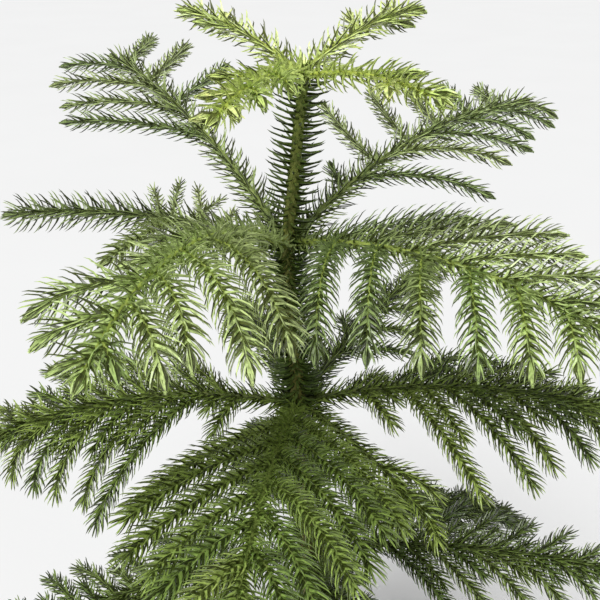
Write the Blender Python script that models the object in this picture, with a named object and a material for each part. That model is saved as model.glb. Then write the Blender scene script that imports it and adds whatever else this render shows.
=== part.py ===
"""Norfolk Island pine in a clay pot: a young houseplant about 0.66 m tall, pot and all.

One stem rises from the soil and carries five tiers of boughs. Each bough is a bare tapering limb that ends
in its own mass of foliage: a stem, the twigs that branch from it to both sides by a seeded rule, and the
needles that stand out of stem and twigs in three winding rows. Needles also clothe the trunk between the
upper tiers.

Everything is in metres, +Z up. The origin is the centre of the pot's flat underside.
"""

import math
import random
from collections import namedtuple

import bmesh
import bpy
import numpy as np

# The pot and its soil
POT_HEIGHT = 0.140
POT_FOOT_RADIUS = 0.052
POT_SHOULDER_RADIUS = 0.070
POT_RIM_RADIUS = 0.0775
POT_RIM_HEIGHT = 0.026
POT_WALL = 0.006
POT_FLOOR = 0.009
POT_EDGE = 0.0015
POT_SIDES = 36
POT_RIM_SPLAY = 0.10        # how much the inside widens for each unit of height above the shoulder
SOIL_TOP = 0.128

X_AXIS, Y_AXIS, Z_AXIS = np.eye(3)

# The trunk: where it stands on the soil and where each tier of boughs leaves it, as (x, z)
TRUNK_STATIONS = (
    (0.000, SOIL_TOP), (0.002, 0.225), (-0.002, 0.332),
    (-0.009, 0.4425), (-0.015, 0.5415), (-0.006, 0.631),
)
TRUNK_FOOT_RADIUS = 0.0062
TRUNK_TOP_RADIUS = 0.0025
TRUNK_BUD = 0.005
FLARE_GIRTH = 0.0045
FLARE_HEIGHT = 0.010
FLARE_RINGS = (0, 0.35, 0.8, 1.5, 2.5)      # as shares of the flare's height
TRUNK_SIDES = 12
SHARP_ANGLE = 40            # edges turned by more than this many degrees are drawn sharp

# Bare limbs, from the trunk to where each bough's foliage starts
GAP = 0.0003                # between touching bodies
LIMB_SIDES = 5
ROOT_STANDOFF = 0.0002      # a limb's root stands this much more clear, for the trunk's slope
COLLAR_GIRTH = 1.25
COLLAR_LENGTH = 0.005
TIER_STAGGER = 0.002        # how far neighbours in a tier differ in the height that they leave the trunk at
LIMB_BASE_RADIUS = 0.0009
LIMB_RADIUS_PER_LENGTH = 0.0052
LIMB_TAPER = 0.62
LIMB_RINGS = 3
LIMB_OVERHANG = 0.004       # from a limb's end to its first twig
BUD_PROFILE = ((0.5, 0.85), (0.85, 0.55), (1.0, 0.2))

# Twigs and needles
TWIG_SPACING = 0.022        # between one pair of twigs and the next along a bough
TWIG_FADE = 0.75            # how much shorter the last twigs are than the first, unless their side says
TWIG_FADE_POWER = 1.5
STUNTED = 0.35              # what share of its length a stunted twig reaches
SPLAY_FADE = 0.25           # how much closer to the bough the last twigs point
TWIG_CURL = 16              # degrees that a twig turns towards its bough's tip
TWIG_LIFT = 6               # degrees above the slope that it takes from its bough
TWIG_SLOPE_SHARE = 0.5      # how much of the bough's own slope a twig takes
LENGTH_VARIES, DROOP_VARIES, LIFT_VARIES = (0.92, 1.08), (0.85, 1.1), (-4, 4)
LEFT_SET, RIGHT_SET = 0.10, 0.45    # where in each pair's spacing the two twigs leave
TWIG_CLEARANCE = 0.0155     # between twigs of different masses
TRUNK_CLEARANCE = 0.021
LOWEST_TWIG = 0.155
TWIG_TRIES = (1.0, 0.82, 0.66, 0.5)     # shares of its length that a twig is tried at
STEEPEST = 88               # degrees below level that a drooping tip stops at
ARC_STEPS, TWIG_STEPS = 40, 10
BOUGH_FREE_FROM, TWIG_FREE_FROM = 5, 3      # steps from the root that clearances start at
TWIG_RADIUS = 0.0009
NEEDLE_REACH = 0.0072
NEEDLE_LEAN = 0.006
NEEDLE_PITCH = 0.016
STEM_NEEDLE_PITCH = 0.022
NEEDLE_TURN = 60            # degrees from one ring of needles to the next
BARE_ROOT = 0.005
TUFT_HEIGHTS = (0, 0.003, 0.006, 0.010)
TUFT_GIRTHS = (0.35, 0.45, 0.3, 0.0)
TUFT_REACH = 0.0045
TUFT_LEAN = 0.0035

# Needles on the trunk, as sleeves of spikes
SLEEVE_WALL = 0.0007
SLEEVE_SIDES = 10
SLEEVE_PITCH = 0.006
SLEEVE_REACH = 0.0115
SLEEVE_FOOT = 0.016         # above the tier below
SLEEVE_HEAD = 0.008         # below the tier above

# reach is the first twig's length as a share of its bough's; splay and droop are degrees; fade is how much
# shorter the last twigs of that side are than its first; stunted is how many of them, from the trunk out,
# stay short
Side = namedtuple("Side", "reach splay droop fade stunted", defaults=(TWIG_FADE, 0))
# length in millimetres, angles in degrees: sag and swing are how far the bough has turned down and round at
# its tip. twiggy is the stretch that carries twigs, as shares of the length. Left and right are as seen
# looking out from the trunk.
Bough = namedtuple("Bough", "place azimuth length rise sag swing twiggy left right")
Tier = namedtuple("Tier", "name station foliage boughs")

TIERS = (
    Tier("top", 5, "needles_new", (
        Bough("back_left", 133, 106, 25, 25, 0, (0.50, 0.88), Side(0.21, 40, 10), Side(0.16, 50, 5)),
        Bough("back_right", 50, 105, 25, 27, 0, (0.42, 0.88), Side(0.24, 60, 0), Side(0.26, 40, 48)),
        Bough("front_right", 314, 94, 16, 33, -2, (0.45, 0.92), Side(0.28, 36, 5), Side(0.26, 54, 40)),
        Bough("front_left", 245, 100, 14, 34, 3, (0.35, 0.92), Side(0.28, 62, 40), Side(0.30, 48, 5)),
    )),
    Tier("upper", 4, "needles_young", (
        Bough("left", 171, 165, 16, 27, -3, (0.10, 0.44), Side(0.47, 85, 24, 1.25), Side(0.26, 80, -15)),
        Bough("back_left", 129, 193, 37, 27, 3, (0.41, 0.92),
              Side(0.45, 61, 34, 0.67), Side(0.36, 76, 9, 0, 1)),
        Bough("back_right", 37, 200, 37, 43, -1, (0.22, 0.92),
              Side(0.36, 86, 0, 0.6, 1), Side(0.41, 50, 48)),
        Bough("front_right", 328, 190, 16, 41, 0, (0.11, 0.93), Side(0.46, 52, 12), Side(0.43, 74, 88)),
        Bough("front_left", 239, 200, 35, 61, 18, (0.29, 0.92),
              Side(0.44, 64, 84, 1.05, 1), Side(0.45, 89, 45, 0.98, 3)),
    )),
    Tier("middle", 3, "needles_grown", (
        Bough("left", 183, 190, 15, 41, 2, (0.17, 0.93), Side(0.54, 58, 86, 0.82, 1), Side(0.42, 58, 12)),
        Bough("back_left", 108, 160, 6, 18, -4, (0.25, 0.93),
              Side(0.26, 50, 12, 0.75, 1), Side(0.26, 50, 12)),
        Bough("back_right", 57, 186, 21, 26, -2, (0.18, 0.93), Side(0.18, 50, 22), Side(0.28, 56, 40)),
        Bough("right", 0, 195, 14, 33, 0, (0.14, 0.93), Side(0.36, 50, 18), Side(0.54, 73, 54, 0.84, 1)),
        Bough("front", 261, 190, 19, 30, 2, (0.15, 0.93), Side(0.54, 50, 36, 0.85), Side(0.60, 48, 20, 1)),
        Bough("front_right", 316, 112, -6, 28, 2, (0.28, 0.93),
              Side(0.58, 41, 41, 1.2), Side(0.44, 50, 40)),
    )),
    Tier("lower", 2, "needles_old", (
        Bough("front", 279, 180, 12, 34, 0, (0.22, 0.93), Side(0.42, 54, 50), Side(0.42, 54, 50)),
        Bough("right", 352, 190, 14, 26, 2, (0.20, 0.93), Side(0.28, 50, -10), Side(0.40, 54, 60)),
        Bough("back_right", 31, 186, 17, 60, -12, (0.22, 0.93), Side(0.24, 50, 40), Side(0.36, 50, 40)),
        Bough("back", 100, 175, 10, 30, 0, (0.22, 0.93), Side(0.40, 50, 30), Side(0.40, 50, 30)),
        Bough("left", 197, 185, 6, 22, 0, (0.22, 0.93), Side(0.40, 52, 50), Side(0.34, 84, 31, 0.4)),
    )),
    Tier("bottom", 1, "needles_old", (
        Bough("right", 12, 170, 6, 30, 0, (0.22, 0.93), Side(0.38, 54, 40), Side(0.38, 54, 40)),
        Bough("back", 84, 160, 6, 30, 0, (0.22, 0.93), Side(0.38, 54, 40), Side(0.38, 54, 40)),
        Bough("back_left", 156, 165, 6, 30, 0, (0.22, 0.93), Side(0.38, 54, 40), Side(0.38, 54, 40)),
        Bough("front_left", 228, 170, 6, 30, 0, (0.22, 0.93), Side(0.38, 54, 40), Side(0.38, 54, 40)),
        Bough("front_right", 300, 170, 6, 30, 0, (0.22, 0.93), Side(0.38, 54, 40), Side(0.38, 54, 40)),
    )),
)

# name: (base colour, roughness)
FINISHES = {
    "clay": ((0.47, 0.20, 0.11), 0.85),
    "soil": ((0.045, 0.028, 0.018), 0.95),
    "bark": ((0.075, 0.080, 0.022), 0.75),
    "bough_bark": ((0.150, 0.190, 0.035), 0.7),
    "needles_new": ((0.245, 0.330, 0.075), 0.5),
    "needles_young": ((0.180, 0.260, 0.070), 0.5),
    "needles_grown": ((0.090, 0.145, 0.040), 0.5),
    "needles_old": ((0.070, 0.110, 0.030), 0.5),
}


# ---- scene, materials and plain meshes

def clear_scene():
    for thing in list(bpy.data.objects):
        bpy.data.objects.remove(thing, do_unlink=True)


def material(name):
    """The Principled material of this name, made the first time that it is asked for."""
    if name in bpy.data.materials:
        return bpy.data.materials[name]
    made = bpy.data.materials.new(name)
    made.use_nodes = True
    shader = made.node_tree.nodes["Principled BSDF"]
    colour, roughness = FINISHES[name]
    shader.inputs["Base Color"].default_value = (*colour, 1.0)
    shader.inputs["Roughness"].default_value = roughness
    shader.inputs["Metallic"].default_value = 0.0
    return made


def add_object(name, points, faces, finish, collection=None):
    """A closed mesh object with all its faces turned outwards."""
    mesh = bpy.data.meshes.new(name)
    mesh.from_pydata([tuple(map(float, p)) for p in points], [], faces)
    shape = bmesh.new()
    shape.from_mesh(mesh)
    bmesh.ops.recalc_face_normals(shape, faces=shape.faces)
    shape.to_mesh(mesh)
    shape.free()
    made = bpy.data.objects.new(name, mesh)
    made.data.materials.append(material(finish))
    (collection or bpy.context.scene.collection).objects.link(made)
    return made


def add_loft(name, rings, finish):
    """A solid through rings of as many points each, closed by a flat face at either end."""
    sides = len(rings[0])
    points = [p for ring in rings for p in ring]
    faces = [tuple(reversed(range(sides)))]
    for k in range(len(rings) - 1):
        low, high = k * sides, (k + 1) * sides
        for i in range(sides):
            j = (i + 1) % sides
            faces.append((low + i, low + j, high + j, high + i))
    faces.append(tuple(range(len(points) - sides, len(points))))
    made = add_object(name, points, faces, finish)
    made.data.shade_smooth()
    made.data.set_sharp_from_angle(angle=math.radians(SHARP_ANGLE))


# ---- directions and curves

def heading(azimuth, elevation):
    a, e = math.radians(azimuth), math.radians(elevation)
    return np.array((math.cos(e) * math.cos(a), math.cos(e) * math.sin(a), math.sin(e)))


def arc(start, length, azimuth, elevation, turn, fall, steps):
    """Evenly spaced points along a curve that turns round by turn and down by fall degrees on its way."""
    points = [np.array(start, float)]
    for k in range(steps):
        t = (k + 0.5) / steps
        way = heading(azimuth + turn * t, max(-STEEPEST, elevation - fall * t))
        points.append(points[-1] + way * length / steps)
    return np.array(points)


def along(points, share):
    """The point at this share of the curve, whose points are evenly spaced."""
    place = min(max(share, 0.0), 1.0) * (len(points) - 1)
    k = min(int(place), len(points) - 2)
    return points[k] + (points[k + 1] - points[k]) * (place - k)


def tangent(points, share):
    """The unit direction of the curve at this share of it."""
    step = 0.5 / (len(points) - 1)
    way = along(points, share + step) - along(points, share - step)
    return way / np.linalg.norm(way)


def cross_axes(way):
    """Two unit vectors across this direction: one level, one mostly upright."""
    level = np.cross((0.0, 0.0, 1.0), way)
    if np.linalg.norm(level) < 1e-6:
        level = np.array((1.0, 0.0, 0.0))
    level /= np.linalg.norm(level)
    return level, np.cross(way, level)


def ring(centre, across, upright, radius, sides, turn=0.0):
    angles = [turn + 2 * math.pi * i / sides for i in range(sides)]
    return [centre + radius * (math.cos(a) * across + math.sin(a) * upright) for a in angles]


# ---- the rule that the plant grows by

def station_point(station):
    x, z = TRUNK_STATIONS[station]
    return np.array((x, 0.0, z))


def trunk_radius(height):
    """Even taper from foot to top, with a flare where the trunk meets the soil."""
    rise = (height - SOIL_TOP) / (TRUNK_STATIONS[-1][1] - SOIL_TOP)
    taper = TRUNK_FOOT_RADIUS + (TRUNK_TOP_RADIUS - TRUNK_FOOT_RADIUS) * rise
    return taper + FLARE_GIRTH * math.exp(-(height - SOIL_TOP) / FLARE_HEIGHT)


def trunk_centre(height):
    for (x0, z0), (x1, z1) in zip(TRUNK_STATIONS, TRUNK_STATIONS[1:]):
        if height <= z1:
            break
    return np.array((x0 + (x1 - x0) * (height - z0) / (z1 - z0), 0.0, height))


def bough_radius(bough, share):
    root = LIMB_BASE_RADIUS + LIMB_RADIUS_PER_LENGTH * bough.length / 1000
    return root * (1 - LIMB_TAPER * share)


def distance_to_trunk(points):
    ends = np.array([station_point(k) for k in range(len(TRUNK_STATIONS))])
    start, way = ends[:-1], np.diff(ends, axis=0)
    share = ((points[:, None] - start) * way).sum(-1) / (way ** 2).sum(-1)
    nearest = start + np.clip(share, 0, 1)[..., None] * way
    return np.linalg.norm(points[:, None] - nearest, axis=-1).min()


def nearest_gap(points, others):
    return np.linalg.norm(points[:, None] - others[None], axis=-1).min()


def limb_end(bough):
    """The share of a bough's length where its bare limb ends."""
    return bough.twiggy[0] - LIMB_OVERHANG / (bough.length / 1000)


def bough_axis(tier, index, bough):
    root = station_point(tier.station)
    root[2] += TIER_STAGGER * (0.5 if index % 2 else -0.5)
    return arc(root, bough.length / 1000, bough.azimuth, bough.rise, bough.swing, bough.sag, ARC_STEPS)


def pair_count(bough):
    first, last = bough.twiggy
    return max(2, round((last - first) * bough.length / 1000 / TWIG_SPACING))


def twig_share(bough, place):
    """The share of a bough's length at this place, where pairs of twigs stand one apart."""
    first, last = bough.twiggy
    return first + (last - first) * place / (pair_count(bough) - RIGHT_SET)


def free_twig(name, bough, axis, pair, side, taken):
    """This pair's twig on this side, shortened until it is clear of other masses, or None."""
    rule, set_back = (bough.left, LEFT_SET) if side > 0 else (bough.right, RIGHT_SET)
    share = twig_share(bough, pair + set_back)
    chance = random.Random(f"{name} {pair} {side}")
    outward = (share - bough.twiggy[0]) / (1 - bough.twiggy[0])
    length = rule.reach * bough.length / 1000 * (1 - rule.fade * outward ** TWIG_FADE_POWER)
    length *= chance.uniform(*LENGTH_VARIES) * (STUNTED if pair < rule.stunted else 1)
    droop = rule.droop * chance.uniform(*DROOP_VARIES)
    splay = rule.splay * (1 - SPLAY_FADE * outward) * chance.uniform(*LENGTH_VARIES)
    azimuth = bough.azimuth + bough.swing * share + side * splay
    slope = bough.rise - bough.sag * share
    elevation = TWIG_SLOPE_SHARE * slope + TWIG_LIFT + chance.uniform(*LIFT_VARIES)
    curl = -side * TWIG_CURL
    for shorter in TWIG_TRIES:
        twig = arc(along(axis, share), length * shorter, azimuth, elevation, curl, droop, TWIG_STEPS)
        outer = twig[TWIG_FREE_FROM:]
        if distance_to_trunk(outer) < TRUNK_CLEARANCE or outer[:, 2].min() < LOWEST_TWIG:
            continue
        if all(nearest_gap(outer, points) > TWIG_CLEARANCE for owner, points in taken if owner != name):
            taken.append((name, outer))
            return twig
    return None


def grow():
    """Every bough as (tier, bough, name, axis, twigs), where twigs maps (pair, side) to a curve."""
    boughs = [
        (tier, bough, f"{tier.name}_{bough.place}", bough_axis(tier, index, bough), {})
        for tier in TIERS
        for index, bough in enumerate(tier.boughs)
    ]
    taken = [(name, axis[BOUGH_FREE_FROM:]) for _, _, name, axis, _ in boughs]
    for _, bough, name, axis, twigs in boughs:
        for pair in range(pair_count(bough)):
            for side in (1, -1):
                twig = free_twig(name, bough, axis, pair, side, taken)
                if twig is not None:
                    twigs[pair, side] = twig
    return boughs


# ---- foliage

def needle_stem(points, radii, bare, reach, lean):
    """Points and faces of a three-sided stem that turns as it goes, whose last point is its tip. Each stretch
    after the first `bare` ones has a needle on each of its three edges, reaching out and leaning on by these
    lengths."""
    rings = len(points) - 1
    verts, faces = [], [(2, 1, 0)]
    for k in range(rings):
        way = points[k + 1] - points[max(k - 1, 0)]
        across, upright = cross_axes(way / np.linalg.norm(way))
        verts += ring(points[k], across, upright, radii[k], 3, math.radians(NEEDLE_TURN * k))
    for k in range(rings - 1):
        a, b, d, e = 3 * k + np.array(((0, 1, 2), (1, 2, 0), (3, 4, 5), (4, 5, 3)))
        if k < bare:
            faces += [*zip(a, b, d), *zip(d, b, e)]
            continue
        way = (points[k + 1] - points[k]) / np.linalg.norm(points[k + 1] - points[k])
        outward = ring(0.0, *cross_axes(way), 1.0, 3, math.radians(NEEDLE_TURN * (k + 0.5)))
        tip = len(verts) + np.arange(3)
        verts += [(points[k] + points[k + 1]) / 2 + side * reach + way * lean for side in outward]
        after = np.roll(tip, -1)
        faces += [*zip(a, b, tip), *zip(tip, b, d), *zip(d, b, after), *zip(d, after, e)]
    last = 3 * (rings - 1)
    faces += [(last + i, last + (i + 1) % 3, len(verts)) for i in range(3)]
    verts.append(points[-1])
    return verts, [tuple(map(int, face)) for face in faces]


def spaced(curve, start, bare_length, pitch):
    """Points from this share of a curve to its tip: the first two bare_length apart, the rest about pitch."""
    length = np.linalg.norm(np.diff(curve, axis=0), axis=1).sum()
    first = start + bare_length / length
    stretches = max(2, round((1 - first) * length / pitch))
    shares = [start, *(first + (1 - first) * k / stretches for k in range(stretches + 1))]
    return np.array([along(curve, share) for share in shares])


def fused(target, others):
    """Joins the others into the target, drops loose scraps and sealed hollows, and removes the others."""
    union = target.modifiers.new("join", "BOOLEAN")
    union.operation = "UNION"
    union.operand_type = "COLLECTION"
    union.collection = others
    union.solver = "EXACT"
    bpy.context.view_layer.update()
    evaluated = target.evaluated_get(bpy.context.evaluated_depsgraph_get())
    joined = bpy.data.meshes.new_from_object(evaluated)
    target.modifiers.clear()
    target.data = joined
    keep_largest_shell(joined)
    for thing in list(others.objects):
        bpy.data.objects.remove(thing, do_unlink=True)
    bpy.data.collections.remove(others)


def keep_largest_shell(mesh):
    """Leaves only the connected piece of the mesh that has the most points."""
    shape = bmesh.new()
    shape.from_mesh(mesh)
    left, shells = set(shape.verts), []
    while left:
        shell, edge = set(), {left.pop()}
        while edge:
            vert = edge.pop()
            shell.add(vert)
            edge |= {e.other_vert(vert) for e in vert.link_edges} - shell
        left -= shell
        shells.append(shell)
    largest = max(shells, key=len)
    bmesh.ops.delete(shape, geom=[v for v in shape.verts if v not in largest], context="VERTS")
    shape.to_mesh(mesh)
    shape.free()


def add_foliage(tier, bough, name, axis, twigs):
    """One mass: the stem that carries on from the limb's tip, with the roots of its twigs sunk into it."""
    start = limb_end(bough) + GAP / (bough.length / 1000)
    points = spaced(axis, start, BARE_ROOT, STEM_NEEDLE_PITCH)
    radii = bough_radius(bough, np.linspace(start, 1, len(points)))
    solid = needle_stem(points, radii, 1, NEEDLE_REACH, NEEDLE_LEAN)
    stem = add_object(f"foliage_{name}", *solid, tier.foliage)
    others = bpy.data.collections.new(f"twigs_{name}")
    bpy.context.scene.collection.children.link(others)
    for (pair, side), twig in twigs.items():
        points = spaced(twig, 0, BARE_ROOT, NEEDLE_PITCH)
        radii = np.linspace(TWIG_RADIUS, TWIG_RADIUS / 2, len(points))
        solid = needle_stem(points, radii, 1, NEEDLE_REACH, NEEDLE_LEAN)
        add_object(f"twig_{pair}_{side}", *solid, tier.foliage, others)
    fused(stem, others)


def add_needle_sleeve(name, lower, upper):
    """A thin sleeve round the trunk between two stations, with a spike on every other facet outside."""
    low, high = lower + SLEEVE_FOOT, upper - SLEEVE_HEAD
    rows = round((high - low) / SLEEVE_PITCH)
    heights = [low + (high - low) * k / rows for k in range(rows + 1)]
    verts, faces = [], []
    for height in heights:
        inner = (trunk_radius(height) + GAP) / math.cos(math.pi / SLEEVE_SIDES) + GAP
        for radius in (inner, inner + SLEEVE_WALL):
            verts += ring(trunk_centre(height), X_AXIS, Y_AXIS, radius, SLEEVE_SIDES)
    for k in range(rows):
        for i in range(SLEEVE_SIDES):
            j = (i + 1) % SLEEVE_SIDES
            row, above = 2 * SLEEVE_SIDES * k, 2 * SLEEVE_SIDES * (k + 1)
            faces.append((row + j, row + i, above + i, above + j))
            outer = [SLEEVE_SIDES + v for v in (row + i, row + j, above + j, above + i)]
            if (i + k) % 2:
                faces.append(tuple(outer))
                continue
            middle = sum(verts[v] for v in outer) / 4
            outward = middle - trunk_centre(middle[2])
            tip = middle + outward / np.linalg.norm(outward) * SLEEVE_REACH + Z_AXIS * SLEEVE_PITCH / 2
            faces += [(outer[m], outer[(m + 1) % 4], len(verts)) for m in range(4)]
            verts.append(tip)
    for i in range(SLEEVE_SIDES):
        j = (i + 1) % SLEEVE_SIDES
        top = 2 * SLEEVE_SIDES * rows
        faces.append((i, j, SLEEVE_SIDES + j, SLEEVE_SIDES + i))
        faces.append((top + j, top + i, top + SLEEVE_SIDES + i, top + SLEEVE_SIDES + j))
    add_object(name, verts, faces, "needles_young")


def add_leader_tuft():
    """The short upright needles round the bud at the trunk's tip."""
    foot = station_point(-1) + Z_AXIS * (TRUNK_BUD + GAP)
    points = [foot + Z_AXIS * height for height in TUFT_HEIGHTS]
    radii = [TRUNK_TOP_RADIUS * share for share in TUFT_GIRTHS]
    add_object("leader_tuft", *needle_stem(np.array(points), radii, 0, TUFT_REACH, TUFT_LEAN), "needles_new")


# ---- wood, pot and soil

def add_trunk():
    """The whole stem, from its flat cut on the soil, with its flare, its kinks at the tiers and its bud."""
    foot, top = SOIL_TOP + GAP, TRUNK_STATIONS[-1][1]
    heights = [foot + FLARE_HEIGHT * share for share in FLARE_RINGS]
    for (_, low), (_, high) in zip(TRUNK_STATIONS, TRUNK_STATIONS[1:]):
        heights += [low + (high - low) * share for share in (0.5, 1.0)]
    rings = [ring(trunk_centre(z), X_AXIS, Y_AXIS, trunk_radius(z), TRUNK_SIDES) for z in sorted(heights)]
    for rise, girth in BUD_PROFILE:
        centre = trunk_centre(top) + Z_AXIS * TRUNK_BUD * rise
        rings.append(ring(centre, X_AXIS, Y_AXIS, TRUNK_TOP_RADIUS * girth, TRUNK_SIDES))
    add_loft("trunk", rings, "bark")


def add_limb(bough, name, axis):
    """The bare part of a bough, from a collar that stands against the trunk to where its foliage starts."""
    length = bough.length / 1000
    root = axis[0]
    out = heading(bough.azimuth, 0)
    slope = math.cos(math.radians(bough.rise))
    standoff = trunk_radius(root[2]) + GAP + ROOT_STANDOFF
    root_share = standoff / slope / length
    end_share = limb_end(bough)
    collar_share = root_share + COLLAR_LENGTH / length
    across, _ = cross_axes(out)
    girth = bough_radius(bough, root_share) * COLLAR_GIRTH
    centre = root + out * standoff + Z_AXIS * standoff * math.tan(math.radians(bough.rise))
    rings = [ring(centre, across, Z_AXIS / slope, girth, LIMB_SIDES)]
    for step in range(LIMB_RINGS):
        share = collar_share + (end_share - collar_share) * step / (LIMB_RINGS - 1)
        axes = cross_axes(tangent(axis, share))
        rings.append(ring(along(axis, share), *axes, bough_radius(bough, share), LIMB_SIDES))
    add_loft(f"bough_{name}", rings, "bough_bark")


def turned(name, profile, finish):
    """A solid of revolution about +Z through this profile of (radius, height), closed flat at both ends."""
    add_loft(name, [ring(Z_AXIS * z, X_AXIS, Y_AXIS, radius, POT_SIDES) for radius, z in profile], finish)


def pot_inner_radius(height):
    """The radius of the space inside the pot at this height."""
    shoulder = POT_HEIGHT - POT_RIM_HEIGHT
    outer = POT_FOOT_RADIUS + (POT_SHOULDER_RADIUS - POT_FOOT_RADIUS) * min(height / shoulder, 1)
    return outer - POT_WALL + max(0, height - shoulder) * POT_RIM_SPLAY


def add_pot():
    shoulder = POT_HEIGHT - POT_RIM_HEIGHT
    profile = (
        (POT_FOOT_RADIUS - POT_EDGE, 0),
        (POT_FOOT_RADIUS, POT_EDGE),
        (POT_SHOULDER_RADIUS, shoulder),
        (POT_RIM_RADIUS - POT_EDGE, shoulder),
        (POT_RIM_RADIUS - POT_EDGE / 2, shoulder + POT_EDGE),
        (POT_RIM_RADIUS, POT_HEIGHT - POT_EDGE),
        (POT_RIM_RADIUS - POT_EDGE, POT_HEIGHT),
        (pot_inner_radius(POT_HEIGHT) + POT_EDGE, POT_HEIGHT),
        (pot_inner_radius(POT_HEIGHT), POT_HEIGHT - POT_EDGE),
        (pot_inner_radius(shoulder), shoulder),
        (pot_inner_radius(POT_FLOOR), POT_FLOOR),
    )
    turned("pot", profile, "clay")


def add_soil():
    low = POT_FLOOR + GAP
    shoulder = POT_HEIGHT - POT_RIM_HEIGHT
    profile = [(pot_inner_radius(z) - 2 * GAP, z) for z in (low, shoulder, SOIL_TOP)]
    turned("soil", profile, "soil")


def main():
    clear_scene()
    add_pot()
    add_soil()
    add_trunk()
    for tier, bough, name, axis, twigs in grow():
        add_limb(bough, name, axis)
        add_foliage(tier, bough, name, axis, twigs)
    add_needle_sleeve("needle_sleeve_upper", TRUNK_STATIONS[4][1], TRUNK_STATIONS[5][1])
    add_needle_sleeve("needle_sleeve_middle", TRUNK_STATIONS[3][1], TRUNK_STATIONS[4][1])
    add_leader_tuft()


main()
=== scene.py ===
"""The looks of the Norfolk Island pine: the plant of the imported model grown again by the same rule, with all
its needles, a trunk and boughs with their relief, a turned clay pot and crumbled soil.

Lengths are in metres, +Z up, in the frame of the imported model; only the boughs' lengths are in millimetres.
Angles are in degrees where a line doesn't turn them into radians.
"""

import math
import random
from collections import namedtuple

import bpy
import numpy as np
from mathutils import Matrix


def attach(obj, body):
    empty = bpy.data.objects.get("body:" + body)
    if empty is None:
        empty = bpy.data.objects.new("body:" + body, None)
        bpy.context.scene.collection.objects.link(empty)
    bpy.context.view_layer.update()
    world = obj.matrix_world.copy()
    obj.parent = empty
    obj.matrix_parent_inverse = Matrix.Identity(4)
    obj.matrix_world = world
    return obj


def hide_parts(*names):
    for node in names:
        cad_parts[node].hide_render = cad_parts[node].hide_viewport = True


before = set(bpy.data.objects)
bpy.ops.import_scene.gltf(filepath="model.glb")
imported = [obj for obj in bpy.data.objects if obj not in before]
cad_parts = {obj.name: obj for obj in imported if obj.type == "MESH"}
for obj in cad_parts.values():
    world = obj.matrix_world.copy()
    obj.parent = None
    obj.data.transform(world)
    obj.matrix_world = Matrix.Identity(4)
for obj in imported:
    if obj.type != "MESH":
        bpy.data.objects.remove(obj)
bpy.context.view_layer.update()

X_AXIS, _, Z_AXIS = np.eye(3)
MM_PER_M = 1000
GOLDEN_TURN = math.radians(137.508)

# ---- the plant's rule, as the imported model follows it

SOIL_TOP = 0.128
# (place to the right, height) of the trunk's foot and of each tier, from the bottom one to the top one
TRUNK_STATIONS = (
    (0.000, SOIL_TOP), (0.002, 0.225), (-0.002, 0.332),
    (-0.009, 0.4425), (-0.015, 0.5415), (-0.006, 0.631),
)
TRUNK_FOOT_RADIUS = 0.0062
TRUNK_TOP_RADIUS = 0.0025
FLARE_GIRTH = 0.0045
FLARE_HEIGHT = 0.010
TIER_STAGGER = 0.002        # between the heights of a tier's even and odd boughs
LIMB_BASE_RADIUS = 0.0009
LIMB_RADIUS_PER_LENGTH = 0.0052
LIMB_TAPER = 0.62
TWIG_SPACING, FEWEST_PAIRS = 0.022, 2
TWIG_FADE = 0.75            # how much shorter a twig at the bough's tip would be than its first, as a share
TWIG_FADE_POWER = 1.5
STUNTED = 0.35              # the length of a stunted twig, as a share of what it would be
SPLAY_FADE = 0.25
TWIG_CURL = 16
TWIG_LIFT = 6
TWIG_SLOPE_SHARE = 0.5
LENGTH_VARIES, DROOP_VARIES, LIFT_VARIES = (0.92, 1.08), (0.85, 1.1), (-4, 4)
LEFT, RIGHT = 1, -1
LEFT_SET, RIGHT_SET = 0.10, 0.45        # how far along its pair's stretch of bough a twig stands
TWIG_CLEARANCE = 0.0155
TRUNK_CLEARANCE = 0.021
LOWEST_TWIG = 0.155
TWIG_TRIES = (1.0, 0.82, 0.66, 0.5)     # shares of its length that a twig is tried at
STEEPEST = 88
ARC_STEPS, TWIG_STEPS = 40, 10
BOUGH_FREE_FROM, TWIG_FREE_FROM = 5, 3  # points before these are too near the bearing stem to be kept clear

# the twigs on one side of a bough. reach is the first one's share of the bough's length, splay its turn away
# from the bough, droop its turn down on its way, fade as TWIG_FADE, and the first `stunted` twigs are stunted
Side = namedtuple("Side", "reach splay droop fade stunted", defaults=(TWIG_FADE, 0))
# rise is a bough's elevation at its root, sag and swing are its turns down and round on its way, and twiggy
# holds the two shares of its length between which it bears twigs
Bough = namedtuple("Bough", "place azimuth length rise sag swing twiggy left right")
Tier = namedtuple("Tier", "name station growth boughs")

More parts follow.
